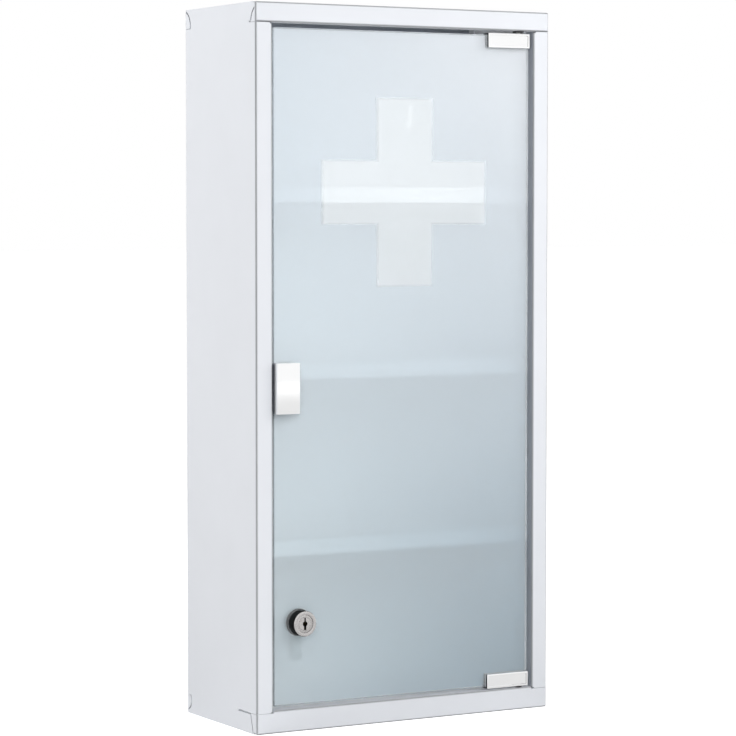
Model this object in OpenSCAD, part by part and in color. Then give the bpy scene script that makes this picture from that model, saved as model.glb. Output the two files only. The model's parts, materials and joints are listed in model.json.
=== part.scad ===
// Lockable wall medicine cabinet: a folded sheet-steel case with fixed shelves behind a
// frosted glass door that has a clear cross window, pivot hinges, a clip handle and a cam lock.
// The origin is the centre of the face that lies on the wall, +Y goes into the wall, +Z is up.

/* [Case] */
// Width over the side panels
body_w = 300; // [280:1:320]
// Height over the top and bottom panels
body_h = 635; // [610:1:660]
// Depth from the wall to the face of the front strips
body_d = 138; // [134:1:150]
// Thickness of the sheet steel
sheet = 1; // [0.8:0.1:1.2]
// Outside radius of the folds
fold_r = 2; // [1.8:0.1:2.4]

/* [Front frame] */
// Width of the side strips
side_strip = 16.5; // [15:0.5:18]
// Height of the top strip
top_strip = 17.5; // [15.9:0.2:18.3]
// Height of the bottom strip between the side strips
bottom_strip = 20.3; // [18.8:0.1:21.3]
// Height of the bottom strip under the ends of the side strips
bottom_corner = 18; // [17:0.5:18.5]
// How far the strips turn back beside the door
return_depth = 12; // [11:0.1:12]
// Width of the flanges that carry the back panel
rear_flange = 17; // [15:0.5:18]
// Open seam between a side strip and the strip above or below it
seam = 0.3; // [0.2:0.05:0.5]

/* [Corner tabs] */
// Depth of the upper front tabs that wrap onto the side faces
front_tab = 8; // [6:0.5:10]
// Radius of the curved edge of an upper front tab
front_tab_r = 13.5; // [12.5:0.5:16]
// Depth of a lower front tab beside the seam
slant_root = 11; // [10:0.5:12]
// Depth of a lower front tab at the bottom plate
slant_tab = 6; // [5:0.5:8]
// Depth of the upper rear tabs
rear_tab_upper = 10; // [8:0.5:11]
// Radius of the curved edge of an upper rear tab
rear_tab_r = 12.8; // [12:0.2:14]
// Depth and radius of the lower rear tabs
rear_tab_lower = 8.2; // [7:0.2:9]
// Open slit beside a tab
tab_slit = 1.4; // [1:0.1:1.6]
// Rounding of the front corners, seen from the front
corner_r = 2.5; // [1:0.1:2.6]
// Radius of the relief at the end of each seam, in the corner of the opening
seam_relief = 1.3; // [0.8:0.1:1.6]
// Length of the relief slit behind a lower front tab
relief_length = 24.5; // [10:0.5:40]

/* [Wall keyholes] */
// Distance between the two keyholes
keyhole_spacing = 168; // [140:1:200]
// Height of the entry holes above the middle of the case
keyhole_z = 219.5; // [200:0.5:240]
// Radius of an entry hole, which passes a screw head
keyhole_entry_r = 4.5; // [4:0.25:6]
// Width of the slot that holds the screw's neck
keyhole_neck = 5; // [4:0.25:6]
// Rise from the entry hole to the end of the slot
keyhole_rise = 15; // [10:1:20]

/* [Shelves] */
// Height of the upper shelf's top above the middle of the case
shelf_z = 160.5; // [150:0.5:170]
// Distance from one shelf to the next
shelf_pitch = 155.5; // [140:0.1:160]
// Gap between the front plane of the case and the shelves
shelf_setback = 24; // [20:1:60]
// Height of a shelf's front lip
shelf_lip = 15.5; // [10:0.5:20]
// Height of a shelf's side and rear skirts
shelf_skirt = 11; // [6:0.5:14]
// Depth of the turned-in edge under the front lip
shelf_hem = 8; // [5:0.5:12]

/* [Door] */
// Thickness of the glass
glass_t = 4; // [4:0.5:5]
// How far the glass lies behind the front strips
door_recess = 3.5; // [3:0.1:4]
// Gap beside the glass
door_gap_side = 3; // [2.9:0.1:3.4]
// Gap above the glass
door_gap_top = 4.1; // [3.7:0.1:7]
// Gap below the glass
door_gap_bottom = 2.7; // [2.6:0.1:6]
// Polished chamfer round the glass
glass_chamfer = 0.4; // [0.2:0.1:0.6]
// Width of the clear border round the frosting
clear_border = 1; // [0.5:0.5:8]
// Thickness of the frosted film on the back of the glass
film_t = 0.2; // [0.1:0.05:0.3]

/* [Cross window] */
// Height and width of the cross
cross_size = 166; // [120:1:180]
// Width of the arms of the cross
cross_arm = 55.5; // [40:0.5:60]
// Drop from the top of the case to the middle of the cross
cross_drop = 163.5; // [150:0.5:200]
// Sideways place of the cross from the middle of the door
cross_x = 1; // [-5:0.5:5]

/* [Hinges] */
// Distance from the edge of the glass to the pivot line
pivot_inset = 10; // [9.5:0.5:13]
// Length of a hinge clamp
clamp_length = 44; // [40:1:50]
// How far a clamp reaches over the glass
clamp_cover = 11.5; // [9:0.5:14]
// Thickness of a clamp's front plate
clamp_front = 2.1; // [1.8:0.1:2.4]
// Thickness of a clamp's rear plate
clamp_rear = 2.5; // [2:0.1:3]
// Thickness of a clamp over the edge of the glass
clamp_web = 1.5; // [1.2:0.1:1.6]
// Radius of a pivot pin
pin_r = 2; // [1.8:0.1:2.2]
// Radial clearance of a pin in its bush
pin_clearance = 0.05; // [0.02:0.01:0.1]

/* [Handle] */
// Width of the clip
handle_w = 22.5; // [20:0.5:30]
// Height of the clip
handle_h = 44.5; // [36:0.5:60]
// How far the clip stands in front of the glass
handle_d = 9.7; // [7:0.1:14]
// Height of the clip's middle above the middle of the case
handle_z = -16.2; // [-60:0.1:40]

/* [Lock] */
// Distance from the edge of the glass to the middle of the lock
lock_inset = 25; // [22:0.5:30]
// Height of the lock above the middle of the case
lock_z = -222.2; // [-240:0.1:-200]
// Radius of the lock's front collar
lock_r = 11.3; // [11:0.1:13]
// How far the collar stands in front of the glass
lock_d = 10.2; // [8:0.1:14]
// Radius of the turning face
plug_face_r = 7.8; // [7.4:0.1:8]
// Length of the cam from the lock's middle to its tip
cam_length = 34; // [31:1:40]

/* [Hidden] */
$fn = 64;

// Small overshoot that lets a cutter pass a face
eps = 0.5;

// Case
front = -body_d;
side_x = body_w / 2;
top_z = body_h / 2;
flange_y = -sheet;
open_x = side_x - side_strip;
open_top = top_z - top_strip;
open_bottom = -top_z + bottom_strip;
fold_mid = fold_r - sheet / 2;

// Rounded tabs: depth, radius and how far the middle of the curve lies below the top plate
tab_room = 20;
front_lobe = [front_tab, front_tab_r, top_strip];
rear_lobe_upper = [rear_tab_upper, rear_tab_r, 14.5];
rear_lobe_lower = [rear_tab_lower, rear_tab_lower, 12];

// Shelves
shelf_front = front + shelf_setback;
shelf_back = flange_y - sheet - 1;

// Door
glass_front = front + door_recess;
glass_back = glass_front + glass_t;
glass_x = open_x - door_gap_side;
glass_top = open_top - door_gap_top;
glass_bottom = open_bottom + door_gap_bottom;
cross_z = top_z - cross_drop;
pivot_x = glass_x - pivot_inset;
pivot_y = (glass_front + glass_back) / 2;

// Hinge clamps, whose outer end is flush with the edge of the glass
pad_t = 0.4;
edge_play = 0.2;
clamp_x1 = glass_x - 0.2;
clamp_x0 = clamp_x1 - clamp_length;
clamp_bevel = 1.2;
clamp_bevel_depth = 0.6;
clamp_screw_x = [clamp_x0 + 9, clamp_x0 + 26];
clamp_screw_r = 1.5;
clamp_face_y = glass_front - pad_t - clamp_front;
clamp_back_y = glass_back + pad_t + clamp_rear;

// Pivot bushes
bush_r = 3.2;
bush_flange_r = 5;
bush_flange_top = 1.5;
bush_flange_bottom = 0.7;
bush_snap = 0.4;

// Handle clip
handle_web = 1.6;
handle_rear = 3;
handle_round = 0.6;
handle_x0 = -glass_x - pad_t - handle_web;
handle_x1 = handle_x0 + handle_w;
handle_face_y = glass_front - handle_d;
handle_back_y = glass_back + pad_t + handle_rear;
handle_screw_x = handle_x0 + 15;
handle_screw_step = 23;
handle_screw_r = 1.5;

// Magnetic catch behind the handle
catch_h = 40;
catch_reach = 14;
catch_y = handle_back_y + 5.6;
holder_w = 12;
holder_h = 34;
magnet_w = 8;
magnet_h = 20;
magnet_face_y = handle_back_y + 0.3;
holder_face_y = magnet_face_y + 0.4;
catch_screw_step = 27;
catch_x = -open_x + catch_reach - holder_w / 2 - 1;
catch_screw_r = 1.2;

// Cam lock, from its face to its tail
lock_x = -glass_x + lock_inset;
lock_face_y = glass_front - lock_d;
washer_t = 0.6;
barrel_r = 9;
barrel_end_y = front + return_depth - 0.1;
glass_hole_r = 9.3;
rear_washer_t = 0.8;
rear_washer_r = 12;
nut_t = 3;
nut_flats = 24;
rim_depth = 0.6;
plug_head = 2.4;
plug_r = 6;
core_clearance = 0.05;
tail_side = 7;
cam_t = 1.6;
cam_y = front + return_depth + 0.4;
cam_hub_r = 8;
cam_width = 12;
cam_play = 0.05;
keyway_r = 2.3;
keyway_upper = 1.4;
keyway_lower = 2.3;
keyway_h = 10.8;
wafer_count = 5;
wafer_t = 0.8;
wafer_pitch = 2.3;
wafer_w = 5.6;
wafer_h = 10.4;
wafer_play = 0.1;
wafer_y = [for (i = [0:wafer_count - 1]) lock_face_y + rim_depth + plug_head + 0.8 + i * wafer_pitch];

// Extrusions of an outline between two planes: plan (X, Y), end view (Y, Z) and front view (X, Z)
module along_z(z0, z1) { translate([0, 0, z0]) linear_extrude(z1 - z0) children(); }
module along_x(x0, x1) { translate([x0, 0, 0]) rotate([90, 0, 90]) linear_extrude(x1 - x0) children(); }
module along_y(y0, y1) { translate([0, y1, 0]) rotate([90, 0, 0]) linear_extrude(y1 - y0) children(); }

// Revolved outline about a line along Y: the outline's x is the radius, its y is the place along Y
module turned(x, z) { translate([x, 0, z]) rotate([-90, 0, 0]) rotate_extrude() children(); }

// Straight round bar along Y
module bar_y(x, z, r, y0, y1) { translate([x, y0, z]) rotate([-90, 0, 0]) cylinder(r = r, h = y1 - y0); }

// Rectangle between two corners, with rounded corners
module round_rect(p, q, r) {
    translate(p + [r, 0]) square(q - p - [2 * r, 0]);
    translate(p + [0, r]) square(q - p - [0, 2 * r]);
    for (x = [p[0] + r, q[0] - r], y = [p[1] + r, q[1] - r]) {
        translate([x, y]) circle(r = r);
    }
}

// Rectangle between two corners, with its lower corners cut back by a bevel
module bevel_rect(p, q, inset, depth) {
    polygon([[p[0] + inset, p[1]], [q[0] - inset, p[1]], [q[0], p[1] + depth], q,
        [p[0], q[1]], [p[0], p[1] + depth]]);
}

// The same with all four corners cut at 45 degrees
module chamfer_rect(p, q, c) {
    polygon([[p[0] + c, p[1]], [q[0] - c, p[1]], [q[0], p[1] + c], [q[0], q[1] - c],
        [q[0] - c, q[1]], [p[0] + c, q[1]], [p[0], q[1] - c], [p[0], p[1] + c]]);
}

// Sheet seen end on: it follows the middle line through square folds
module folded(path) {
    last = len(path) - 1;
    for (i = [0:last - 1]) {
        run = (path[i + 1] - path[i]) / norm(path[i + 1] - path[i]);
        side = [-run[1], run[0]] * sheet / 2;
        a = path[i] + run * (i == 0 ? 0 : fold_mid);
        b = path[i + 1] - run * (i == last - 1 ? 0 : fold_mid);
        polygon([a + side, a - side, b - side, b + side]);
    }
    for (i = [1:last - 1]) {
        into = (path[i] - path[i - 1]) / norm(path[i] - path[i - 1]);
        out = (path[i + 1] - path[i]) / norm(path[i + 1] - path[i]);
        translate(path[i] + (out - into) * fold_mid) fold_sector(-out, into);
    }
}

// Quarter ring of sheet between two square directions
module fold_sector(u, v) {
    intersection() {
        difference() {
            circle(r = fold_r);
            circle(r = fold_r - sheet);
        }
        polygon([[0, 0], u * 2 * fold_r, (u + v) * 2 * fold_r, v * 2 * fold_r]);
    }
}

// Rounded corner tab on the side face, in the end view, with a root along the fold at y;
// grow widens it into its notch
module lobed_tab(y, into, lobe, low, grow) {
    gap = grow > 0 ? seam : 0;
    root = fold_r + gap;
    bottom = top_z - low - gap;
    rise = top_z - bottom + grow;
    intersection() {
        translate([into > 0 ? y - grow : y - tab_room, bottom]) square([tab_room + grow, rise]);
        union() {
            translate([y + into * (lobe[0] - lobe[1]), top_z - lobe[2]]) circle(r = lobe[1] + grow);
            translate([into > 0 ? y - grow : y - root, bottom]) square([root + grow, rise]);
        }
    }
}

// Slanted corner tab, deepest beside the seam
module slanted_tab(low, grow) {
    bottom = top_z - low - (grow > 0 ? seam : 0);
    polygon([[front - grow, bottom], [front + slant_root + grow, bottom], [front + slant_tab + grow, top_z],
        [front + slant_tab + grow, top_z + grow + 0.1], [front - grow, top_z + grow + 0.1]]);
}

// Both tabs at one end of a tray
module tab_pair(strip, slanted, grow) {
    if (slanted) {
        slanted_tab(strip, grow);
        lobed_tab(flange_y, -1, rear_lobe_lower, rear_flange, grow);
    } else {
        lobed_tab(front, 1, front_lobe, strip, grow);
        lobed_tab(flange_y, -1, rear_lobe_upper, rear_flange, grow);
    }
}

// What the upper tray takes out of the left side panel
module tray_room(strip, slanted) {
    seam_z = top_z - strip - seam;
    translate([-side_x + sheet, front - eps, seam_z]) cube([side_strip, return_depth + 2 * eps, strip + eps]);
    translate([-side_x + sheet, flange_y - fold_r, top_z - rear_flange - seam])
        cube([rear_flange, fold_r + eps, rear_flange + eps]);
    along_x(-side_x - eps, -side_x + sheet + eps / 2) tab_pair(strip, slanted, tab_slit);
    bar_y(-open_x - seam_relief, seam_z, seam_relief, front - eps, front + return_depth + eps);
    if (slanted) {
        translate([-side_x - eps, front + slant_root, seam_z])
            cube([sheet + 2 * eps, relief_length, sheet + 2 * seam]);
    }
}

// Left side panel: side face, front strip, return and rear flange folded from one sheet
module side_panel() {
    difference() {
        along_z(-top_z + sheet, top_z - sheet) folded([
            [-open_x - sheet / 2, front + return_depth],
            [-open_x - sheet / 2, front + sheet / 2],
            [-side_x + sheet / 2, front + sheet / 2],
            [-side_x + sheet / 2, flange_y - sheet / 2],
            [-side_x + rear_flange, flange_y - sheet / 2]]);
        tray_room(top_strip, false);
        mirror([0, 0, 1]) tray_room(bottom_corner, true);
    }
}

// Upper tray: plate, full-width front strip with its lip, rear flange, and a tab at each corner;
// at the corners the strip is only as high as corner
module tray(strip, corner, slanted) {
    lip_z = top_z - strip + sheet / 2;
    difference() {
        intersection() {
            union() {
                along_x(-side_x, side_x) folded([
                    [front + return_depth, lip_z],
                    [front + sheet / 2, lip_z],
                    [front + sheet / 2, top_z - sheet / 2],
                    [flange_y - sheet / 2, top_z - sheet / 2],
                    [flange_y - sheet / 2, top_z - rear_flange]]);
                for (x = [-side_x, side_x - sheet]) {
                    along_x(x, x + sheet) intersection() {
                        tab_pair(corner, slanted, 0);
                        round_rect([front, 0], [flange_y, top_z], fold_r);
                    }
                }
            }
            along_z(0, body_h) round_rect([-side_x, front], [side_x, flange_y], fold_r);
        }
        translate([pivot_x, pivot_y, lip_z - sheet]) cylinder(r = bush_r, h = 2 * sheet);
        if (corner < strip) {
            for (x = [-side_x - eps, open_x - seam]) {
                translate([x, front - eps, lip_z - sheet])
                    cube([side_strip + seam + eps, return_depth + 2 * eps, strip - corner + sheet / 2]);
            }
        }
        along_y(front - eps, front + slant_tab) difference() {
            translate([-side_x - eps, 0]) square([body_w + 2 * eps, top_z + eps]);
            round_rect([-side_x, -top_z], [side_x, top_z], corner_r);
        }
    }
}

module left_side_panel() { color("whitesmoke") side_panel(); }
module right_side_panel() { color("whitesmoke") mirror([1, 0, 0]) side_panel(); }
module top_panel() { color("white") tray(top_strip, top_strip, false); }
module bottom_panel() { color("white") mirror([0, 0, 1]) tray(bottom_strip, bottom_corner, true); }

// Back panel, welded onto the rear flanges, with two keyholes to hang the case from
module back_panel() {
    edge = [side_x - sheet, top_z - sheet];
    color("gainsboro") along_y(-sheet, 0) difference() {
        round_rect(-edge, edge, fold_r);
        for (x = [-keyhole_spacing / 2, keyhole_spacing / 2]) {
            translate([x, keyhole_z]) {
                circle(r = keyhole_entry_r);
                translate([-keyhole_neck / 2, 0]) square([keyhole_neck, keyhole_rise]);
                translate([0, keyhole_rise]) circle(r = keyhole_neck / 2);
            }
        }
    }
}

// Shelf pressed as a shallow pan turned down, with a hem under its front lip
module shelf(z) {
    inner_x = side_x - sheet;
    color("ivory") {
        difference() {
            shelf_block(z, inner_x, shelf_front, shelf_back, fold_r);
            shelf_block(z - sheet, inner_x - sheet, shelf_front + sheet, shelf_back - sheet, fold_r - sheet);
            translate([-side_x, front, z - 4 * shelf_lip]) cube([body_w, body_d, 3 * shelf_lip]);
            translate([-side_x, shelf_front + fold_r, z - 4 * shelf_lip])
                cube([body_w, body_d, 4 * shelf_lip - shelf_skirt]);
        }
        translate([-inner_x, shelf_front + sheet, z - shelf_lip])
            cube([2 * inner_x, shelf_hem - sheet, sheet]);
    }
}

// Block below a plane, rounded along its upper edges
module shelf_block(z, x, y0, y1, r) {
    intersection() {
        along_x(-x, x) round_rect([y0, z - 3 * shelf_lip], [y1, z], r);
        along_y(y0, y1) round_rect([-x, z - 3 * shelf_lip], [x, z], r);
    }
}

module shelf_upper() { shelf(shelf_z); }
module shelf_middle() { shelf(shelf_z - shelf_pitch); }
module shelf_lower() { shelf(shelf_z - 2 * shelf_pitch); }

// Flanged bush snapped into the lip of a tray, modelled for the upper one
module hinge_bush(lip_z, flange) {
    bore = pin_r + pin_clearance;
    color("black") translate([pivot_x, pivot_y, lip_z]) rotate_extrude() polygon([
        [bore, -flange], [bush_flange_r, -flange], [bush_flange_r, 0], [bush_r, 0], [bush_r, sheet],
        [bush_r + bush_snap, sheet], [bush_r, 2.5 * sheet], [bore, 2.5 * sheet]]);
}

module hinge_bush_top() { hinge_bush(open_top, bush_flange_top); }
module hinge_bush_bottom() { mirror([0, 0, 1]) hinge_bush(-open_bottom, bush_flange_bottom); }

// Angle welded behind the left return, which stops the door and carries the magnet
module catch_bracket() {
    x = -open_x - 1.5 * sheet;
    color("whitesmoke") difference() {
        along_z(handle_z - catch_h / 2, handle_z + catch_h / 2)
            folded([[x, front + fold_r + eps], [x, catch_y - sheet / 2], [-open_x + catch_reach, catch_y - sheet / 2]]);
        for (z = [-0.5, 0.5] * catch_screw_step) {
            bar_y(catch_x, handle_z + z, catch_screw_r, catch_y - 3 * sheet, catch_y + eps);
        }
    }
}

// Plastic holder with a pocket for the bar magnet
module catch_holder() {
    color("white") difference() {
        along_y(holder_face_y, catch_y - sheet)
            round_rect([catch_x - holder_w / 2, handle_z - holder_h / 2],
                [catch_x + holder_w / 2, handle_z + holder_h / 2], 2);
        magnet_bar();
        for (z = [-0.5, 0.5] * catch_screw_step) {
            bar_y(catch_x, handle_z + z, catch_screw_r, holder_face_y + 1, catch_y);
        }
    }
}

module magnet_bar() {
    translate([catch_x - magnet_w / 2, magnet_face_y, handle_z - magnet_h / 2])
        cube([magnet_w, catch_y - 2 * sheet - magnet_face_y, magnet_h]);
}

module catch_magnet() { color("dimgray") magnet_bar(); }

// Two pan-head screws that hold the holder from behind
module catch_screws() {
    color("silver") for (z = [-0.5, 0.5] * catch_screw_step) {
        bar_y(catch_x, handle_z + z, catch_screw_r, holder_face_y + 1, catch_y);
        difference() {
            bar_y(catch_x, handle_z + z, 2.2, catch_y, catch_y + 1.2);
            hex_socket(catch_x, handle_z + z, 0.9, catch_y + 0.4, catch_y + 1.2 + eps);
        }
    }
}

// Six-sided recess along Y
module hex_socket(x, z, r, y0, y1) {
    translate([x, y0, z]) rotate([-90, 0, 0]) cylinder(r = r, h = y1 - y0, $fn = 6);
}

// Glass pane with polished chamfers and the hole for the lock
module door_glass() {
    color("lightblue", 0.4) difference() {
        intersection() {
            along_z(glass_bottom, glass_top)
                chamfer_rect([-glass_x, glass_front], [glass_x, glass_back], glass_chamfer);
            along_x(-glass_x, glass_x)
                chamfer_rect([glass_front, glass_bottom], [glass_back, glass_top], glass_chamfer);
        }
        bar_y(lock_x, lock_z, glass_hole_r, glass_front - eps, glass_back + eps);
    }
}

// Frosting behind the glass, open at the cross, the lock, the handle and the hinge clamps
module frosted_film() {
    border = [clear_border, clear_border];
    room = 0.5;
    color("azure", 0.7) along_y(glass_back, glass_back + film_t) difference() {
        translate([-glass_x, glass_bottom] + border)
            square([2 * glass_x, glass_top - glass_bottom] - 2 * border);
        for (size = [[cross_size, cross_arm], [cross_arm, cross_size]]) {
            translate([cross_x, cross_z]) square(size, center = true);
        }
        translate([lock_x, lock_z]) circle(r = rear_washer_r + room);
        translate([-glass_x - eps, handle_z - handle_h / 2 - room])
            square([handle_x1 + glass_x + eps + room, handle_h + 2 * room]);
        for (z = [glass_top - clamp_cover - room, glass_bottom]) {
            translate([clamp_x0 - room, z]) square([clamp_length + 3, clamp_cover + room]);
        }
    }
}

// Cast clip that grips the edge of the glass from both sides
module handle_clip() {
    z0 = handle_z - handle_h / 2;
    z1 = handle_z + handle_h / 2;
    color("silver") difference() {
        intersection() {
            along_z(z0, z1) round_rect([handle_x0, handle_face_y], [handle_x1, handle_back_y], handle_round);
            along_x(handle_x0, handle_x1) round_rect([handle_face_y, z0], [handle_back_y, z1], handle_round);
            along_y(handle_face_y, handle_back_y) round_rect([handle_x0, z0], [handle_x1, z1], handle_round);
        }
        translate([-glass_x - pad_t, glass_front - pad_t, z0 - eps])
            cube([handle_w, glass_t + 2 * pad_t, handle_h + 2 * eps]);
        for (z = [-0.5, 0.5] * handle_screw_step) {
            bar_y(handle_screw_x, handle_z + z, handle_screw_r, glass_back, handle_back_y + eps);
        }
    }
}

// Liner folded round the edge of the glass inside the clip
module handle_pad() {
    color("dimgray") along_z(handle_z - handle_h / 2 + 0.5, handle_z + handle_h / 2 - 0.5) difference() {
        translate([-glass_x - pad_t, glass_front - pad_t])
            square([handle_w - handle_web - 0.5, glass_t + 2 * pad_t]);
        translate([-glass_x, glass_front]) square([handle_w, glass_t]);
    }
}

// Two set screws in the clip's rear leg
module handle_screws() {
    color("gray") for (z = [-0.5, 0.5] * handle_screw_step) {
        difference() {
            bar_y(handle_screw_x, handle_z + z, handle_screw_r, glass_back + pad_t, handle_back_y);
            hex_socket(handle_screw_x, handle_z + z, 0.8, handle_back_y - 1.5, handle_back_y + eps);
        }
    }
}

// Hinge clamp with a bevelled face, modelled over the upper edge of the glass
module hinge_clamp(edge) {
    z0 = edge - clamp_cover;
    z1 = edge + edge_play + clamp_web;
    color("silver") difference() {
        intersection() {
            along_z(z0, z1) bevel_rect([clamp_x0, clamp_face_y], [clamp_x1, clamp_back_y],
                clamp_bevel, clamp_bevel_depth);
            along_x(clamp_x0, clamp_x1) clamp_end(z0, z1);
        }
        translate([clamp_x0 - eps, glass_front - pad_t, z0 - eps])
            cube([clamp_length + 2 * eps, glass_t + 2 * pad_t, clamp_cover + edge_play + eps]);
        translate([pivot_x, pivot_y, edge]) cylinder(r = pin_r, h = clamp_web + 1);
        for (x = clamp_screw_x) {
            bar_y(x, edge - clamp_cover / 2, clamp_screw_r, glass_back, clamp_back_y + eps);
        }
    }
}

// End view of a clamp, bevelled along the long edges of its face
module clamp_end(z0, z1) {
    polygon([[clamp_face_y, z0 + clamp_bevel], [clamp_face_y + clamp_bevel_depth, z0], [clamp_back_y, z0],
        [clamp_back_y, z1], [clamp_face_y + clamp_bevel_depth, z1], [clamp_face_y, z1 - clamp_bevel]]);
}

module hinge_clamp_top() { hinge_clamp(glass_top); }
module hinge_clamp_bottom() { mirror([0, 0, 1]) hinge_clamp(-glass_bottom); }

// Rubber pads on both faces of the glass under a clamp
module hinge_pads(edge) {
    color("dimgray") for (y = [glass_front - pad_t, glass_back]) {
        translate([clamp_x0 + 1, y, edge - clamp_cover + 0.5])
            cube([clamp_length - 2, pad_t, clamp_cover - 1]);
    }
}

module hinge_pads_top() { hinge_pads(glass_top); }
module hinge_pads_bottom() { mirror([0, 0, 1]) hinge_pads(-glass_bottom); }

// Two socket screws that tighten a clamp from behind
module hinge_screws(edge) {
    z = edge - clamp_cover / 2;
    color("gray") for (x = clamp_screw_x) {
        bar_y(x, z, clamp_screw_r, glass_back + pad_t, clamp_back_y);
        difference() {
            bar_y(x, z, 3, clamp_back_y, clamp_back_y + 1.8);
            hex_socket(x, z, 1.3, clamp_back_y + 0.6, clamp_back_y + 1.8 + eps);
        }
    }
}

module hinge_screws_top() { hinge_screws(glass_top); }
module hinge_screws_bottom() { mirror([0, 0, 1]) hinge_screws(-glass_bottom); }

// Pivot pin riveted in the clamp's web, with a rounded end above the bush
module hinge_pin(edge, lip_z) {
    end_z = lip_z + 3 * sheet;
    color("lightgray") translate([pivot_x, pivot_y, 0]) rotate_extrude() polygon([
        [0, edge + edge_play], [pin_r, edge + edge_play], [pin_r, end_z - 0.8],
        [pin_r - 0.8, end_z], [0, end_z]]);
}

module hinge_pin_top() { hinge_pin(glass_top, open_top); }
module hinge_pin_bottom() { mirror([0, 0, 1]) hinge_pin(-glass_bottom, -open_bottom); }

// Lock housing: raised collar in front of the glass, threaded barrel through it
module lock_housing() {
    seat = glass_front - washer_t;
    bore = plug_r + core_clearance;
    head = plug_face_r + core_clearance;
    head_y = lock_face_y + rim_depth + plug_head;
    color("silver") difference() {
        turned(lock_x, lock_z) polygon([
            [bore, head_y], [head, head_y], [head, lock_face_y + 0.3], [head + 0.4, lock_face_y],
            [lock_r - 0.9, lock_face_y], [lock_r, lock_face_y + 0.9], [lock_r, seat],
            [barrel_r, seat], [barrel_r, barrel_end_y], [bore, barrel_end_y]]);
        for (side = [-1, 1]) {
            translate([lock_x - lock_r, seat + eps, lock_z + side * (barrel_r + 1.2) - 2])
                cube([2 * lock_r, barrel_end_y - seat, 4]);
        }
    }
}

module lock_front_washer() {
    color("black") turned(lock_x, lock_z)
        translate([barrel_r, glass_front - washer_t]) square([lock_r - 0.5 - barrel_r, washer_t]);
}

module lock_rear_washer() {
    color("black") turned(lock_x, lock_z)
        translate([barrel_r, glass_back]) square([rear_washer_r - barrel_r, rear_washer_t]);
}

// Thin six-sided nut with a chamfered rear face
module lock_nut() {
    y0 = glass_back + rear_washer_t;
    corner_r = nut_flats / 2 / cos(30);
    color("gray") difference() {
        intersection() {
            hex_socket(lock_x, lock_z, corner_r, y0, y0 + nut_t);
            turned(lock_x, lock_z) polygon([[0, y0], [corner_r + 1, y0], [corner_r + 1, y0 + nut_t - 1.5],
                [corner_r - 1.2, y0 + nut_t], [0, y0 + nut_t]]);
        }
        bar_y(lock_x, lock_z, barrel_r, y0 - eps, y0 + nut_t + eps);
    }
}

// Turning plug with its keyway, wafer slots and square tail
module lock_plug() {
    face_y = lock_face_y + rim_depth;
    head_y = face_y + plug_head;
    tail_y = cam_y + cam_t;
    color("lightgray") difference() {
        union() {
            turned(lock_x, lock_z) polygon([[0, face_y], [plug_face_r - 0.4, face_y], [plug_face_r, face_y + 0.4],
                [plug_face_r, head_y], [plug_r, head_y], [plug_r, barrel_end_y], [0, barrel_end_y]]);
            translate([lock_x - tail_side / 2, barrel_end_y - eps, lock_z - tail_side / 2])
                cube([tail_side, tail_y - barrel_end_y + eps, tail_side]);
        }
        along_y(face_y - eps, barrel_end_y - 2) keyway();
        for (y = wafer_y) {
            translate([lock_x - wafer_w / 2 - wafer_play, y - wafer_play, lock_z - plug_r - eps])
                cube([wafer_w + 2 * wafer_play, wafer_t + 2 * wafer_play, 2 * plug_r + 2 * eps]);
        }
        bar_y(lock_x, lock_z, 2, barrel_end_y - 1.5, tail_y + eps);
    }
}

// Key slot: a round middle with a narrow upper and a wider lower slot
module keyway() {
    translate([lock_x, lock_z]) {
        circle(r = keyway_r);
        translate([-keyway_upper / 2, 0]) square([keyway_upper, keyway_h / 2]);
        translate([-keyway_lower / 2, -keyway_h / 2]) square([keyway_lower, keyway_h / 2]);
    }
}

// Wafers with windows for the key, one in each slot of the plug
module lock_wafers() {
    color("goldenrod") for (i = [0:wafer_count - 1]) {
        along_y(wafer_y[i], wafer_y[i] + wafer_t) translate([lock_x, lock_z]) difference() {
            square([wafer_w, wafer_h], center = true);
            translate([0, 0.4 * (i % 3) - 0.4]) square([3.2, 6.4], center = true);
        }
    }
}

// Cam, hanging down when the door is free to open
module lock_cam() {
    color("silver") along_y(cam_y, cam_y + cam_t) translate([lock_x, lock_z]) difference() {
        union() {
            circle(r = cam_hub_r);
            round_rect([-cam_width / 2, -cam_length], [cam_width / 2, 0], 2);
        }
        square(tail_side + 2 * cam_play, center = true);
    }
}

// Screw and washer head that hold the cam on the tail
module lock_cam_screw() {
    y0 = cam_y + cam_t;
    color("gray") difference() {
        turned(lock_x, lock_z) polygon([[0, barrel_end_y - 1.5], [2, barrel_end_y - 1.5], [2, y0],
            [5.5, y0], [5.5, y0 + 0.6], [3.8, y0 + 0.6], [3.4, y0 + 2.2], [0, y0 + 2.2]]);
        for (turn = [0, 90]) {
            translate([lock_x, y0 + 2.2, lock_z]) rotate([0, turn, 0]) cube([4, 2, 0.8], center = true);
        }
    }
}

left_side_panel();
right_side_panel();
top_panel();
bottom_panel();
back_panel();
shelf_upper();
shelf_middle();
shelf_lower();
hinge_bush_top();
hinge_bush_bottom();
catch_bracket();
catch_holder();
catch_magnet();
catch_screws();
door_glass();
frosted_film();
handle_clip();
handle_pad();
handle_screws();
hinge_clamp_top();
hinge_clamp_bottom();
hinge_pads_top();
hinge_pads_bottom();
hinge_screws_top();
hinge_screws_bottom();
hinge_pin_top();
hinge_pin_bottom();
lock_housing();
lock_front_washer();
lock_rear_washer();
lock_nut();
lock_plug();
lock_wafers();
lock_cam();
lock_cam_screw();
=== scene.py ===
import json
import math

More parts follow.
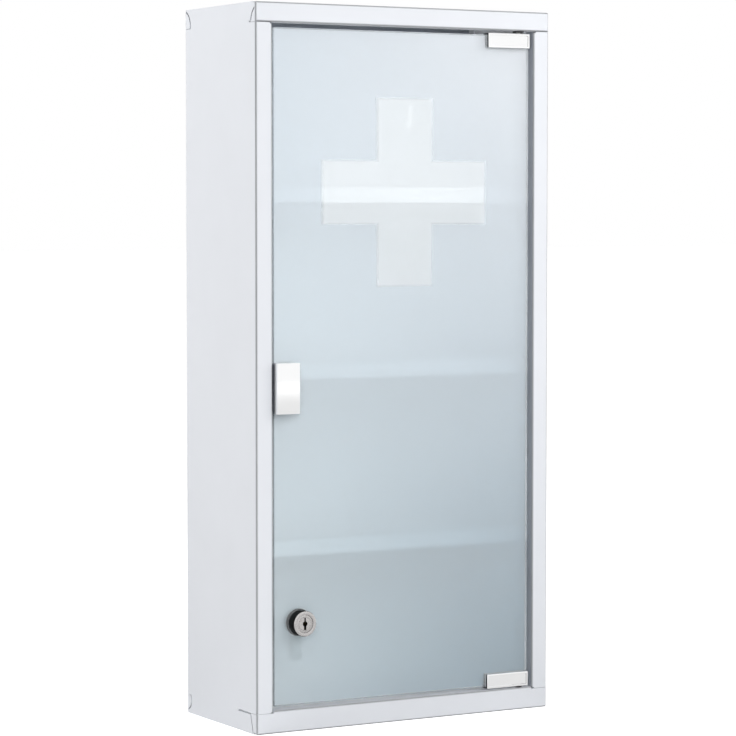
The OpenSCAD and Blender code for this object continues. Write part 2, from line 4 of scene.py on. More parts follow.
import bmesh
import bpy
from bpy.props import FloatProperty, FloatVectorProperty, PointerProperty
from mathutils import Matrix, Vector


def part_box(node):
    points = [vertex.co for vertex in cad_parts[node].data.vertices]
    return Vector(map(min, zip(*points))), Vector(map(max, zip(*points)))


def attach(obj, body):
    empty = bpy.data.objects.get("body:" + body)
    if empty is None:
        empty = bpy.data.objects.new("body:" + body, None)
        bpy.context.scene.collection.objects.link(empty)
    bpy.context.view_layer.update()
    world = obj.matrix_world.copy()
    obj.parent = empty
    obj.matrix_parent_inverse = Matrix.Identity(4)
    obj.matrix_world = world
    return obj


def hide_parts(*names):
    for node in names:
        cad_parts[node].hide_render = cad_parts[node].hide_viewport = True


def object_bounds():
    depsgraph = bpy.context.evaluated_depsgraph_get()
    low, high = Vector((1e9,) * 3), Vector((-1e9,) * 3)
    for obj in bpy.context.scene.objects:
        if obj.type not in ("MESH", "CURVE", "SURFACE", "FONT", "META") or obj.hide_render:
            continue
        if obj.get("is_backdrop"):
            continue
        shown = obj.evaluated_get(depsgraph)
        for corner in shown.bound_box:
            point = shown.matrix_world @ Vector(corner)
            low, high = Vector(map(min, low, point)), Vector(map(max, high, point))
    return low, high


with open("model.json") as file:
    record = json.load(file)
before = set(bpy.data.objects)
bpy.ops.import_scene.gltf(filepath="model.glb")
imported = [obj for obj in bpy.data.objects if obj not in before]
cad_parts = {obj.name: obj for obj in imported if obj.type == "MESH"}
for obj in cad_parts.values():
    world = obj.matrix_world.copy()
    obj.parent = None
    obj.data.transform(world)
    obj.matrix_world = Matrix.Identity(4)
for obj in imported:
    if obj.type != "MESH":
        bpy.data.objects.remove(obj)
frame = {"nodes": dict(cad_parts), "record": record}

bl_info = {
    "name": "Glass-Door Medicine Cabinet",
    "version": (1, 0, 0),
    "blender": (4, 5, 0),
    "location": "3D View > Sidebar > Cabinet",
    "description": "Dresses a steel wall cabinet with a frosted glass door and a cam lock",
    "category": "Add Mesh",
}

MM = 0.001
SMOOTH_ANGLE = math.radians(32)
WHITE = (1, 1, 1, 1)
BLACK = (0, 0, 0, 1)

# Radii and depths inside the lock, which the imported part's boxes don't give.
GLASS_HOLE = 9.3 * MM
COLLAR_BARREL = 9 * MM
COLLAR_BORE = 6.05 * MM
COLLAR_STEP = 3 * MM
PLUG_BARREL = 6 * MM
PLUG_HEAD = 2.38 * MM
TAIL_RADIUS = 3.5 * MM
TAIL_LENGTH = 2.1 * MM

CASE_NODES = ("left_side_panel", "right_side_panel", "top_panel", "bottom_panel")
SHELF_NODES = ("shelf_upper", "shelf_middle", "shelf_lower")
EDGES = ("top", "bottom")


# ---------------------------------------------------------------- settings


def colour(name, description, value):
    """A colour property for the sidebar."""
    return FloatVectorProperty(name=name, description=description, subtype="COLOR", size=4,
                               min=0, max=1, default=(*value, 1))


def length(name, description, millimetres):
    """A length property for the sidebar, stated in millimetres."""
    return FloatProperty(name=name, description=description, unit="LENGTH", subtype="DISTANCE",
                         min=0, default=millimetres * MM, precision=5)


def power(name, description, watts):
    """The power of a lamp for the sidebar."""
    return FloatProperty(name=name, description=description, unit="POWER", min=0, default=watts)


class CabinetSizes(bpy.types.PropertyGroup):
    """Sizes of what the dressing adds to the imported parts."""

    paint_round: length("Painted edge", "Rounding that the paint gives a cut edge", 0.18)
    peel: length("Orange peel", "Distance between the ripples of the paint", 1.4)
    glass_bevel: length("Glass bevel", "Width of the polished bevel round the glass", 0.5)
    film_gap: length("Film gap", "Room between the glass and what lies on it", 0.04)
    handle_round: length("Handle rounding", "Radius along the edges of the handle clip", 0.5)
    clamp_border: length("Clamp border", "Width of the raised border on a hinge clamp", 2.0)
    clamp_recess: length("Clamp recess", "Depth of the field inside that border", 0.25)
    rim_groove: length("Rim groove", "Width of the groove round the lock's turning face", 0.35)


class CabinetColours(bpy.types.PropertyGroup):
    """Colours of the finishes."""

    paint: colour("Paint", "Powder coat of the case", (0.755, 0.775, 0.815))
    # Inner paint: a lighter copy of the case paint, standing for light inside the case (painted light).
    back_paint: colour("Inner paint", "Powder coat inside the case", (0.88, 0.885, 0.895))
    # Return paint: painted shade on the returns beside the door and behind the strip above it.
    gap_paint: colour("Return paint", "Thin coat on the returns beside the door", (0.36, 0.39, 0.44))
    # Shelf paint: a lighter copy of the case paint (painted light).
    shelf_paint: colour("Shelf paint", "Powder coat of the shelves", (0.97, 0.972, 0.975))
    glass: colour("Glass", "Body tint of the glass", (0.91, 0.95, 0.975))
    # The four film colours are painted light and shade: pale at the top, darker towards the foot, darkest at the
    # bottom right.
    film_lit_top_left: colour("Film, top left", "Tint of the frosted film in that corner",
                          (0.81, 0.85, 0.90))
    film_lit_top_right: colour("Film, top right", "Tint of the frosted film in that corner",
                           (1.0, 0.98, 1.0))
    film_shaded_bottom_left: colour("Film, bottom left", "Tint of the frosted film in that corner",
                             (0.72, 0.82, 0.85))
    film_shaded_bottom_right: colour("Film, bottom right", "Tint of the frosted film in that corner",
                              (0.18, 0.36, 0.47))
    chrome: colour("Chrome", "Bright chrome plate", (0.962, 0.965, 0.967))
    # These two colours are painted shade on the left sides of the clamps, deepest beside the glass.
    side_metal: colour("Unpolished metal", "Left sides of the hinge clamps", (0.155, 0.155, 0.16))
    shaded_left_sides_deep: colour("Unpolished metal, deep", "The same sides beside the glass", (0.025, 0.026, 0.028))
    # Keyway: painted shade inside the key slot and on the collar's sides.
    keyway: colour("Keyway", "Walls of the key slot and sides of the collar", (0.02, 0.02, 0.02))
    nickel: colour("Nickel", "Nickel plate of the lock", (0.6, 0.583, 0.578))
    steel: colour("Zinc", "Zinc-plated screws, nuts and cam", (0.74, 0.75, 0.73))
    # Brass darkened as painted shade, for the wafers inside the lock.
    brass: colour("Brass", "Dull wafers inside the lock", (0.16, 0.12, 0.06))
    rubber: colour("Rubber", "Liner and washers", (0.035, 0.035, 0.038))
    vinyl: colour("Vinyl", "Pads between the clamps and the glass", (0.62, 0.63, 0.64))
    nylon: colour("Black nylon", "Pivot bushes", (0.02, 0.02, 0.022))
    plastic: colour("White plastic", "Holder of the magnet", (0.80, 0.80, 0.79))
    ferrite: colour("Ferrite", "Bar magnet", (0.07, 0.07, 0.075))


class StudioSettings(bpy.types.PropertyGroup):
    """Light, floor and camera."""

    floor: colour("Floor", "Pale floor", (0.9, 0.9, 0.9))
    daylight: FloatProperty(name="Daylight", description="Even light from all round", min=0, default=0.13)
    key_power: power("Key lamp", "Soft lamp before the front, to the right", 13.5)
    fill_power: power("Fill lamp", "Soft lamp before the front, to the left", 19)
    side_power: power("Side lamp", "Soft lamp beside the left face", 38)
    lens: FloatProperty(name="Lens", description="Focal length in millimetres", min=1, default=141.8)
    camera_place: FloatVectorProperty(name="Camera", description="Where the camera stands",
                                      subtype="TRANSLATION", unit="LENGTH",
                                      default=(-1.30146, -2.35616, 0.13571))
    camera_turn: FloatProperty(name="Turn", description="Turn of the camera to the right", unit="ROTATION",
                               default=math.radians(29.648))
    camera_tilt: FloatProperty(name="Tilt", description="Tilt of the camera downwards", unit="ROTATION",
                               default=math.radians(3.057))


def sizes():
    return bpy.context.scene.cabinet_sizes


def colours():
    return bpy.context.scene.cabinet_colours


# --------------------------------------------------------------- materials


class Nodes:
    """Adds nodes to a tree and joins them up."""

    def __init__(self, tree):
        self.tree = tree

    def add(self, kind, **settings):
        node = self.tree.nodes.new(kind)
        for key, value in settings.items():
            setattr(node, key, value)
        return node

    def link(self, source, target):
        self.tree.links.new(source, target)

    def feed(self, target, value):
        """Gives an input its value, which is an output or a plain number, colour or place."""
        if isinstance(value, bpy.types.NodeSocket):
            self.link(value, target)
        else:
            target.default_value = value

    def math(self, operation, first, second):
        node = self.add("ShaderNodeMath", operation=operation)
        self.feed(node.inputs[0], first)
        self.feed(node.inputs[1], second)
        return node.outputs["Value"]

    def mapped(self, value, start, end, first=0.0, last=1.0, **settings):
        """A value that runs from first to last while the given one runs from start to end."""
        node = self.add("ShaderNodeMapRange", **settings)
        for name, given in (("Value", value), ("From Min", start), ("From Max", end),
                            ("To Min", first), ("To Max", last)):
            self.feed(node.inputs[name], given)
        return node.outputs["Result"]

    def mixed(self, share, first, last, blend="MIX"):
        """The first colour with that share of the last one mixed in."""
        node = self.add("ShaderNodeMix", data_type="RGBA", blend_type=blend)
        for name, given in (("Factor", share), ("A", first), ("B", last)):
            self.feed(node.inputs[name], given)
        return node.outputs["Result"]

    def split(self, vector):
        """The three parts of a vector, as outputs named X, Y and Z."""
        node = self.add("ShaderNodeSeparateXYZ")
        self.link(vector, node.inputs["Vector"])
        return node.outputs


class Finish(Nodes):
    """Builds one node material: a Principled shader and what feeds it."""

    def __init__(self, name, base, roughness, metallic=0.0):
        self.material = bpy.data.materials.new(name)
        self.material.use_nodes = True
        super().__init__(self.material.node_tree)
        self.shader = self.tree.nodes["Principled BSDF"]
        self.output = self.tree.nodes["Material Output"]
        self.base = tuple(base)
        self.set("Base Color", self.base)
        self.set("Roughness", roughness)
        self.set("Metallic", metallic)
        self.place = self.add("ShaderNodeTexCoord").outputs["Object"]
        self.bumped = None

    def set(self, socket, value):
        self.feed(self.shader.inputs[socket], value)

    def noise(self, size, detail=3.0, stretch=(1, 1, 1)):
        """Noise whose grains are about size metres across, longer along an axis with a low stretch."""
        node = self.add("ShaderNodeTexNoise")
        node.inputs["Scale"].default_value = 1 / size
        node.inputs["Detail"].default_value = detail
        mapping = self.add("ShaderNodeMapping")
        mapping.inputs["Scale"].default_value = stretch
        self.link(self.place, mapping.inputs["Vector"])
        self.link(mapping.outputs["Vector"], node.inputs["Vector"])
        return node.outputs["Fac"]

    def ranged(self, noise, low, high):
        """Maps noise, most of which lies from 0.3 to 0.7, to values from low to high."""
        return self.mapped(noise, 0.3, 0.7, low, high)

    def mottle(self, size, share):
        """Lets the colour vary by a small share over patches of that size."""
        darker = tuple(c * (1 - share) for c in self.base[:3]) + (1,)
        lighter = tuple(min(1, c * (1 + share)) for c in self.base[:3]) + (1,)
        self.set("Base Color", self.mixed(self.ranged(self.noise(size), 0, 1), darker, lighter))
        return self

    def along(self, axis, start, end, first=0.0, last=1.0):
        """A value that changes from first to last between two places on an axis."""
        return self.mapped(self.split(self.place)[axis], start, end, first, last)

    def blend(self, axis, start, end, first, last):
        """A colour that changes from first to last between two places on an axis."""
        return self.mixed(self.along(axis, start, end), first, last)

    def cross(self, middle, span, arm, soft, inside, outside):
        """A value inside an upright cross, and another past its soft edge."""
        offset = self.add("ShaderNodeVectorMath", operation="SUBTRACT")
        offset.inputs[1].default_value = middle
        self.link(self.place, offset.inputs[0])
        away = self.add("ShaderNodeVectorMath", operation="ABSOLUTE")
        self.link(offset.outputs["Vector"], away.inputs[0])
        parts = self.split(away.outputs["Vector"])
        past_ends = self.math("SUBTRACT", self.math("MAXIMUM", parts["X"], parts["Z"]), span / 2)
        past_arms = self.math("SUBTRACT", self.math("MINIMUM", parts["X"], parts["Z"]), arm / 2)
        return self.mapped(self.math("MAXIMUM", past_ends, past_arms), -soft, soft, inside, outside)

    def darkened(self, share, shade):
        """Multiplies the colour by a shade, in full where the share is 1."""
        source = self.shader.inputs["Base Color"].links[0].from_socket
        self.set("Base Color", self.mixed(share, source, shade, "MULTIPLY"))
        return self

    def painted_shade_on_folds(self, share):
        """Paints shade where the surface turns between two square directions, so the folds look darker."""
        facing = self.add("ShaderNodeVectorTransform", vector_type="NORMAL", convert_from="WORLD",
                          convert_to="OBJECT")
        self.link(self.add("ShaderNodeNewGeometry").outputs["Normal"], facing.inputs["Vector"])
        parts = self.split(facing.outputs["Vector"])
        across, deep, upward = [self.math("POWER", parts[axis], 4) for axis in "XYZ"]
        total = self.math("ADD", self.math("ADD", across, deep), upward)
        return self.darkened(self.mapped(total, 1, 0.5, 0, share), BLACK)

    def uneven(self, size, low, high, stretch=(1, 1, 1)):
        """Lets the roughness vary between two values."""
        self.set("Roughness", self.ranged(self.noise(size, 4.0, stretch), low, high))
        return self

    def bump(self, size, height):
        """Adds ripples of that size and height."""
        node = self.add("ShaderNodeBump")
        node.inputs["Strength"].default_value = 1
        node.inputs["Distance"].default_value = height
        self.link(self.noise(size, 2.0), node.inputs["Height"])
        if self.bumped:
            self.link(self.bumped, node.inputs["Normal"])
        self.bumped = node.outputs["Normal"]
        self.set("Normal", self.bumped)
        return self

    def lets_light_in(self, share):
        """Lamps shine through the surface, dimmed to that share."""
        clear = self.add("ShaderNodeBsdfTransparent")
        clear.inputs["Color"].default_value = (share, share, share, 1)
        mix = self.add("ShaderNodeMixShader")
        self.link(self.add("ShaderNodeLightPath").outputs["Is Shadow Ray"], mix.inputs["Fac"])
        self.link(self.shader.outputs["BSDF"], mix.inputs[1])
        self.link(clear.outputs["BSDF"], mix.inputs[2])
        self.link(mix.outputs["Shader"], self.output.inputs["Surface"])
        return self


def powder_coat(name, base):
    """Satin powder coat: orange peel, faint flow marks, a slightly uneven gloss and painted shade along the
    folds.
    """
    finish = Finish(name, base, 0.38)
    finish.set("Coat Weight", 0.15)
    finish.set("Coat Roughness", 0.25)
    # The folds get painted shade.
    finish.mottle(60 * MM, 0.012).painted_shade_on_folds(0.6).uneven(9 * MM, 0.34, 0.42)
    finish.bump(sizes().peel, 0.006 * MM).bump(8 * MM, 0.01 * MM)
    return finish.material


def window():
    """Middle, span and arm width of the cross left open in the film."""
    low, high = node_box("frosted_film")
    corners = [v.co for v in frame["nodes"]["frosted_film"].data.vertices
               if abs(v.co.x) < 0.8 * high.x and 0.1 * high.z < v.co.z < 0.9 * high.z]
    left, right = min(c.x for c in corners), max(c.x for c in corners)
    foot, top = min(c.z for c in corners), max(c.z for c in corners)
    arm = [c.z for c in corners if c.x < left + MM]
    return Vector(((left + right) / 2, 0, (foot + top) / 2)), right - left, max(arm) - min(arm)


def clear_glass():
    """Float glass with a haze of painted reflection and light: a sixth or more, growing towards the top, and up
    to half in the cross.
    """
    finish = Finish("clear_glass", colours().glass, 0.05)
    low, high = node_box("door_glass")
    middle, span, arm = window()
    # The haze is painted light: more of it towards the middle of the cross and towards the top of the pane.
    painted_light_in_cross = finish.along("Z", middle.z - span / 2, middle.z, 0.68, 0.485)
    pane = finish.along("Z", low.z, high.z, 0.85, 0.78)
    clarity = finish.cross(middle, span, arm, 1.5 * MM, painted_light_in_cross, pane)
    finish.set("Transmission Weight", clarity)
    finish.set("IOR", 1.5)
    finish.uneven(30 * MM, 0.04, 0.06).bump(90 * MM, 0.004 * MM)
    return finish.lets_light_in(1.0).material


def frosted():
    """Satin film: it scatters what lies behind it and whitens it, a little at the foot and by half at the top;
    the whitening that grows upwards and the colour, pale at the top and dark towards the bottom right, are
    painted light and shade.
    """
    finish = Finish("frosting", colours().film_lit_top_left, 0.3)
    finish.set("IOR", 1.3)
    low, high = node_box("frosted_film")
    # The whitening that grows towards the top is painted light.
    finish.set("Transmission Weight", finish.along("Z", low.z, high.z, 0.85, 0.5))
    # The corner colours paint light and shade.
    below = finish.blend("X", low.x, high.x, colours().film_shaded_bottom_left, colours().film_shaded_bottom_right)
    above = finish.blend("X", low.x, high.x, colours().film_lit_top_left, colours().film_lit_top_right)
    finish.set("Base Color", finish.blend("Z", low.z, high.z, below, above))
    finish.uneven(45 * MM, 0.29, 0.32).bump(4 * MM, 0.0005 * MM)
    return finish.lets_light_in(0.98).material


def plain(name, base, roughness, metallic, patches, gloss, ripples):
    """A finish with colour patches (size, share), uneven gloss (size, low, high) and ripples (size, height)."""
    finish = Finish(name, base, roughness, metallic)
    finish.mottle(patches[0] * MM, patches[1]).uneven(gloss[0] * MM, *gloss[1:])
    return finish.bump(ripples[0] * MM, ripples[1] * MM).material


def side_metal():
    """Painted shade on the left sides of the clamps, darkest where they meet the glass."""
    finish = Finish("side_metal", colours().side_metal, 0.32, 1.0)
    face, glass = node_box("handle_clip")[0].y, node_box("door_glass")[0].y
    deepening_shade = finish.blend("Y", face, glass, colours().side_metal, colours().shaded_left_sides_deep)
    finish.set("Base Color", deepening_shade)
    return finish.uneven(2 * MM, 0.28, 0.4, (1, 1, 0.1)).bump(0.5 * MM, 0.006 * MM).material


# Key: name, colour, roughness, metallic, patches, gloss and ripples, with sizes and heights in millimetres.
PLAIN_FINISHES = {
    "chrome": ("chrome", "chrome", 0.07, 1, (20, 0.01), (6, 0.05, 0.10), (7, 0.004)),
    "keyway_metal": ("keyway_metal", "keyway", 0.6, 1, (1, 0.1), (0.6, 0.5, 0.7), (0.4, 0.004)),
    "nickel": ("nickel", "nickel", 0.26, 1, (6, 0.05), (1.5, 0.2, 0.34), (0.7, 0.003)),
    "zinc": ("zinc", "steel", 0.3, 1, (3, 0.08), (1, 0.25, 0.42), (0.6, 0.004)),
    "brass": ("brass", "brass", 0.32, 1, (2, 0.06), (0.8, 0.28, 0.4, (1, 1, 0.2)), (0.4, 0.003)),
    "rubber": ("rubber", "rubber", 0.75, 0, (3, 0.1), (1.5, 0.7, 0.85), (0.4, 0.01)),
    "vinyl": ("vinyl", "vinyl", 0.5, 0, (3, 0.03), (1.5, 0.45, 0.58), (0.5, 0.006)),
    "nylon": ("black_nylon", "nylon", 0.45, 0, (3, 0.1), (1.5, 0.4, 0.52), (0.5, 0.006)),
    "plastic": ("white_plastic", "plastic", 0.4, 0, (8, 0.02), (3, 0.36, 0.46), (0.8, 0.005)),
    "ferrite": ("ferrite", "ferrite", 0.55, 0, (2, 0.12), (1, 0.5, 0.65), (0.3, 0.01)),
}
COATS = {"paint": "case_paint", "back_paint": "back_paint", "gap_paint": "gap_paint",
         "shelf_paint": "shelf_paint"}
OTHER_FINISHES = {"glass": clear_glass, "frosting": frosted, "side_metal": side_metal}
finishes = {}


def finish_of(key):
    """The named finish, made once."""
    if key not in finishes:
        if key in COATS:
            finishes[key] = powder_coat(COATS[key], getattr(colours(), key))
        elif key in PLAIN_FINISHES:
            name, colour_name, *values = PLAIN_FINISHES[key]
            finishes[key] = plain(name, getattr(colours(), colour_name), *values)
        else:
            finishes[key] = OTHER_FINISHES[key]()
    return finishes[key]


# ------------------------------------------------------------------ shapes


def node_box(node):
    """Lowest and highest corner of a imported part."""
    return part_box(node)


def add_finishes(obj, *keys):
    for key in keys:
        obj.data.materials.append(finish_of(key))


def sharpen(bm):
    """Smooth faces with sharp edges wherever the surface turns by more than the limit."""
    for face in bm.faces:
        face.smooth = True
    for edge in bm.edges:
        edge.smooth = len(edge.link_faces) == 2 and edge.calc_face_angle(0) < SMOOTH_ANGLE


def piece(bm, name, keys, body, replaced):
    """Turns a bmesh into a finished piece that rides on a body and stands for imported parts."""
    bm.normal_update()
    sharpen(bm)
    mesh = bpy.data.meshes.new(name)
    bm.to_mesh(mesh)
    bm.free()
    obj = bpy.data.objects.new(name, mesh)
    bpy.context.scene.collection.objects.link(obj)
    add_finishes(obj, *keys)
    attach(obj, body)
    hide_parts(*replaced)
    return obj


def box_mesh(low, high):
    """A box between two corners."""
    bm = bmesh.new()
    bmesh.ops.create_cube(bm, size=1)
    bmesh.ops.scale(bm, vec=Vector(high) - Vector(low), verts=bm.verts)
    bmesh.ops.translate(bm, vec=(Vector(low) + Vector(high)) / 2, verts=bm.verts)
    return bm


def prism(outline, direction, run):
    """Extrudes a flat outline of points along a direction."""
    bm = bmesh.new()
    face = bm.faces.new([bm.verts.new(p) for p in outline])
    made = bmesh.ops.extrude_face_region(bm, geom=[face])
    moved = [v for v in made["geom"] if isinstance(v, bmesh.types.BMVert)]
    bmesh.ops.translate(bm, vec=Vector(direction) * run, verts=moved)
    bmesh.ops.recalc_face_normals(bm, faces=bm.faces)
    return bm


def turned(profile, centre, steps=64):
    """Spins a profile of (radius, depth) round the line through centre that runs from front to back."""
    along = Vector((0, 1, 0))
    out = Vector((0, 0, 1))
    bm = bmesh.new()
    verts = [bm.verts.new(Vector(centre) + out * r + along * a) for r, a in profile]
    closed = profile[0][0] > 0
    pairs = list(zip(verts, verts[1:])) + ([(verts[-1], verts[0])] if closed else [])
    edges = [bm.edges.new(pair) for pair in pairs]
    bmesh.ops.spin(bm, geom=verts + edges, cent=centre, axis=along, dvec=(0, 0, 0),
                   angle=2 * math.pi, steps=steps, use_merge=True, use_duplicate=False)
    bmesh.ops.remove_doubles(bm, verts=bm.verts, dist=1e-7)
    bmesh.ops.recalc_face_normals(bm, faces=bm.faces)
    return bm


def bevel_edges(bm, edges, offset, segments):
    bmesh.ops.bevel(bm, geom=list(edges), offset=offset, offset_type="OFFSET", affect="EDGES",
                    segments=segments, profile=0.5, material=-1, clamp_overlap=True)


def from_node(node):
    """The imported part's own surface, with its loose triangles joined into clean faces."""
    bm = bmesh.new()
    bm.from_mesh(frame["nodes"][node].data)
    bmesh.ops.remove_doubles(bm, verts=bm.verts, dist=2e-6)
    bmesh.ops.dissolve_limit(bm, angle_limit=math.radians(0.5), verts=bm.verts, edges=bm.edges)
    return bm


def cut(obj, cutter_bm):
    """Takes the cutter out of a piece for good."""
    mesh = bpy.data.meshes.new("cutter")
    cutter_bm.to_mesh(mesh)
    cutter_bm.free()
    cutter = bpy.data.objects.new("cutter", mesh)
    bpy.context.scene.collection.objects.link(cutter)
    modifier = obj.modifiers.new("cut", "BOOLEAN")
    modifier.operation = "DIFFERENCE"
    modifier.solver = "EXACT"
    modifier.object = cutter
    bpy.context.view_layer.update()
    shape = obj.evaluated_get(bpy.context.evaluated_depsgraph_get())
    result = bpy.data.meshes.new_from_object(shape)
    obj.modifiers.clear()
    old = obj.data
    obj.data = result
    result.name = old.name or obj.name
    bpy.data.meshes.remove(old)
    bpy.data.objects.remove(cutter)
    bpy.data.meshes.remove(mesh)


def body_of(node):
    for body, members in frame["record"]["behaviour"]["bodies"].items():
        if node in members:
            return body
    raise RuntimeError(f"no body holds {node}")


def dress_node(node, key, edge_round=0.0):
    """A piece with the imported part's form, its edges softened and its finish applied."""
    obj = piece(from_node(node), node + "_dressed", [key], body_of(node), [node])
    if edge_round:
        soften = obj.modifiers.new("soft edges", "BEVEL")
        soften.width = edge_round
        soften.segments = 2
        soften.limit_method = "ANGLE"
        soften.angle_limit = math.radians(50)
        soften.use_clamp_overlap = True
    flatten = obj.modifiers.new("flat faces", "WEIGHTED_NORMAL")
    flatten.keep_sharp = True
    return obj


# --------------------------------------------------------------- operators


class CABINET_OT_case(bpy.types.Operator):
    """Paints the folded steel panels of the case"""

    bl_idname = "cabinet.case"
    bl_label = "Case"

    def execute(self, context):
        for node in CASE_NODES:
            panel = dress_node(node, "paint", sizes().paint_round)
            add_finishes(panel, "back_paint", "gap_paint")
            for polygon in panel.data.polygons:
                # Faces inside take the lighter inner paint: painted light.
                if self.inside(polygon):
                    polygon.material_index = 1
                # Faces in the gaps round the door take painted shade.
                elif self.shaded_beside_door(polygon):
                    polygon.material_index = 2
        # The back panel also takes the lighter inner paint: painted light.
        dress_node("back_panel", "back_paint", sizes().paint_round)
        return {"FINISHED"}

    def inside(self, polygon):
        """Whether a face looks into the room for the shelves; such faces take the lighter inner paint, which is
        painted light.
        """
        low, high = node_box("back_panel")
        middle = polygon.center
        if middle.y < node_box("shelf_upper")[0].y - 10 * MM:
            return False
        across = abs(middle.x) > high.x - MM and polygon.normal.x * middle.x < 0 and abs(polygon.normal.x) > 0.9
        upward = abs(middle.z) > high.z - MM and polygon.normal.z * middle.z < 0 and abs(polygon.normal.z) > 0.9
        return across or upward

    def shaded_beside_door(self, polygon):
        """Whether a face lines the opening beside the door, or hangs behind the strip above it; such faces take
        painted shade.
        """
        pane_high = node_box("door_glass")[1]
        middle, normal = polygon.center, polygon.normal
        across = 0 < abs(middle.x) - pane_high.x < 4 * MM and normal.x * middle.x < 0 and abs(normal.x) > 0.9
        beside = across and middle.y < pane_high.y + 12 * MM
        over = middle.z > pane_high.z + 4 * MM and normal.y < -0.9 and middle.y > pane_high.y
        return beside or over


class CABINET_OT_shelves(bpy.types.Operator):
    """Paints the pressed shelves with a lighter copy of the case paint, which is painted light."""

    bl_idname = "cabinet.shelves"
    bl_label = "Shelves"

    def execute(self, context):
        for node in SHELF_NODES:
            dress_node(node, "shelf_paint", sizes().paint_round)
        return {"FINISHED"}


class CABINET_OT_catch(bpy.types.Operator):
    """Dresses the magnetic catch behind the handle"""

    bl_idname = "cabinet.catch"
    bl_label = "Catch"

    def execute(self, context):
        dress_node("catch_bracket", "paint", sizes().paint_round)
        dress_node("catch_holder", "plastic", 0.4 * MM)
        dress_node("catch_magnet", "ferrite", 0.3 * MM)
        dress_node("catch_screws", "zinc")
        return {"FINISHED"}


class CABINET_OT_glass(bpy.types.Operator):
    """Makes the glass pane with its polished edge"""

    bl_idname = "cabinet.glass"
    bl_label = "Glass pane"

    def execute(self, context):
        low, high = node_box("door_glass")
        bm = box_mesh(low, high)
        bevel_edges(bm, bm.edges, sizes().glass_bevel, 1)
        pane = piece(bm, "glass_pane", ["glass"], "door", ["door_glass"])
        lock_low, lock_high = node_box("lock_housing")
        centre = (lock_low + lock_high) / 2
        front, rear = low.y - MM, high.y + MM
        hole = turned([(0, front), (GLASS_HOLE, front), (GLASS_HOLE, rear), (0, rear)], (centre.x, 0, centre.z))
        cut(pane, hole)
        return {"FINISHED"}


class CABINET_OT_frosting(bpy.types.Operator):
    """Lays the frosted film behind the glass, open at the cross, the lock, the handle and the clamps"""

    bl_idname = "cabinet.frosting"
    bl_label = "Frosted film"

    def execute(self, context):
        low, high = node_box("frosted_film")
        bm = from_node("frosted_film")
        front = [v for v in bm.verts if abs(v.co.y - low.y) < 0.25 * (high.y - low.y)]
        if not front:
            raise RuntimeError("the film has no front face")
        bmesh.ops.translate(bm, vec=(0, sizes().film_gap, 0), verts=front)
        piece(bm, "frosting", ["frosting"], "door", ["frosted_film"])
        return {"FINISHED"}


class CABINET_OT_handle(bpy.types.Operator):
    """Casts the handle clip with its liner and set screws"""

    bl_idname = "cabinet.handle"
    bl_label = "Handle clip"

    def execute(self, context):
        low, high = node_box("handle_clip")
        pad_low, pad_high = node_box("handle_pad")
        outline = [(low.x, low.y), (high.x, low.y), (high.x, pad_low.y), (pad_low.x, pad_low.y),
                   (pad_low.x, pad_high.y), (high.x, pad_high.y), (high.x, high.y), (low.x, high.y)]
        bm = prism([(x, y, low.z) for x, y in outline], (0, 0, 1), high.z - low.z)
        outer = [e for e in bm.edges if all(
            min(abs(v.co.x - low.x), abs(v.co.x - high.x), abs(v.co.y - low.y), abs(v.co.y - high.y)) < 1e-6
            for v in e.verts)]
        bevel_edges(bm, outer, sizes().handle_round, 4)
        piece(bm, "handle", ["chrome"], "door", ["handle_clip"])
        dress_node("handle_pad", "rubber")
        dress_node("handle_screws", "zinc")
        return {"FINISHED"}


class CABINET_OT_hinges(bpy.types.Operator):
    """Makes the hinge clamps, pins and bushes"""

    bl_idname = "cabinet.hinges"
    bl_label = "Hinges"

    def execute(self, context):
        for edge in EDGES:
            self.clamp(edge)
            dress_node("hinge_pads_" + edge, "vinyl")
            dress_node("hinge_screws_" + edge, "zinc")
            dress_node("hinge_pin_" + edge, "zinc")
            dress_node("hinge_bush_" + edge, "nylon")
        return {"FINISHED"}

    def clamp(self, edge):
        """A U of plated metal over the edge of the glass, with a raised border on its face."""
        node = "hinge_clamp_" + edge
        low, high = node_box(node)
        pad_low, pad_high = node_box("hinge_pads_" + edge)
        glass_low, glass_high = node_box("door_glass")
        top = edge == "top"
        free, web = (low.z, high.z) if top else (high.z, low.z)
        inner = glass_high.z + 0.2 * MM if top else glass_low.z - 0.2 * MM
        outline = [(low.y, free), (pad_low.y, free), (pad_low.y, inner), (pad_high.y, inner),
                   (pad_high.y, free), (high.y, free), (high.y, web), (low.y, web)]
        bm = prism([(low.x, y, z) for y, z in outline], (1, 0, 0), high.x - low.x)
        outer = [e for e in bm.edges if all(
            min(abs(v.co.z - free), abs(v.co.z - web)) < 1e-6 and
            min(abs(v.co.y - low.y), abs(v.co.y - high.y)) < 1e-6 for v in e.verts)]
        bevel_edges(bm, outer, 0.5 * MM, 3)
        bm.normal_update()
        face = min(bm.faces, key=lambda f: f.calc_center_median().y - f.calc_area())
        bmesh.ops.inset_region(bm, faces=[face], thickness=sizes().clamp_border, depth=0)
        bmesh.ops.inset_region(bm, faces=[face], thickness=0.3 * MM, depth=-sizes().clamp_recess)
        # Faces turned to the left take the painted shade.
        for part in bm.faces:
            part.material_index = 1 if part.normal.x < -0.75 else 0
        piece(bm, "clamp_" + edge, ["chrome", "side_metal"], "door", [node])


